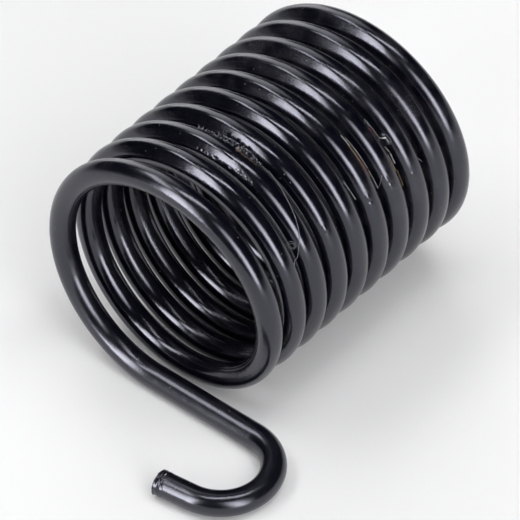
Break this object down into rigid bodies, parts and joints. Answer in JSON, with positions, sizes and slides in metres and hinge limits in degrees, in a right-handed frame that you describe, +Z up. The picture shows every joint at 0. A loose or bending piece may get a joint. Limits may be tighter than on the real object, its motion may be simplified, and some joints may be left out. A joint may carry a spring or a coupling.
{
  "type": "torsion spring",
  "caption": "Torsion spring of round black wire: an open cylindrical coil whose straight tangent leg ends in a sideways round hook.",
  "frame": {"origin": "on the coil's axis, in the plane of the leg", "axes": "+Y along the coil's axis from the leg towards the plain end, +X along the leg towards the hook, +Z up from the surface that the spring lies on"},
  "size_m": [0.0313, 0.0435, 0.0262],
  "materials": {
    "spring_wire": "gloss black lacquer over steel spring wire, scuffed in places"
  },
  "bodies": {
    "root": {"torsion_spring": "spring_wire"}
  },
  "joints": []
}
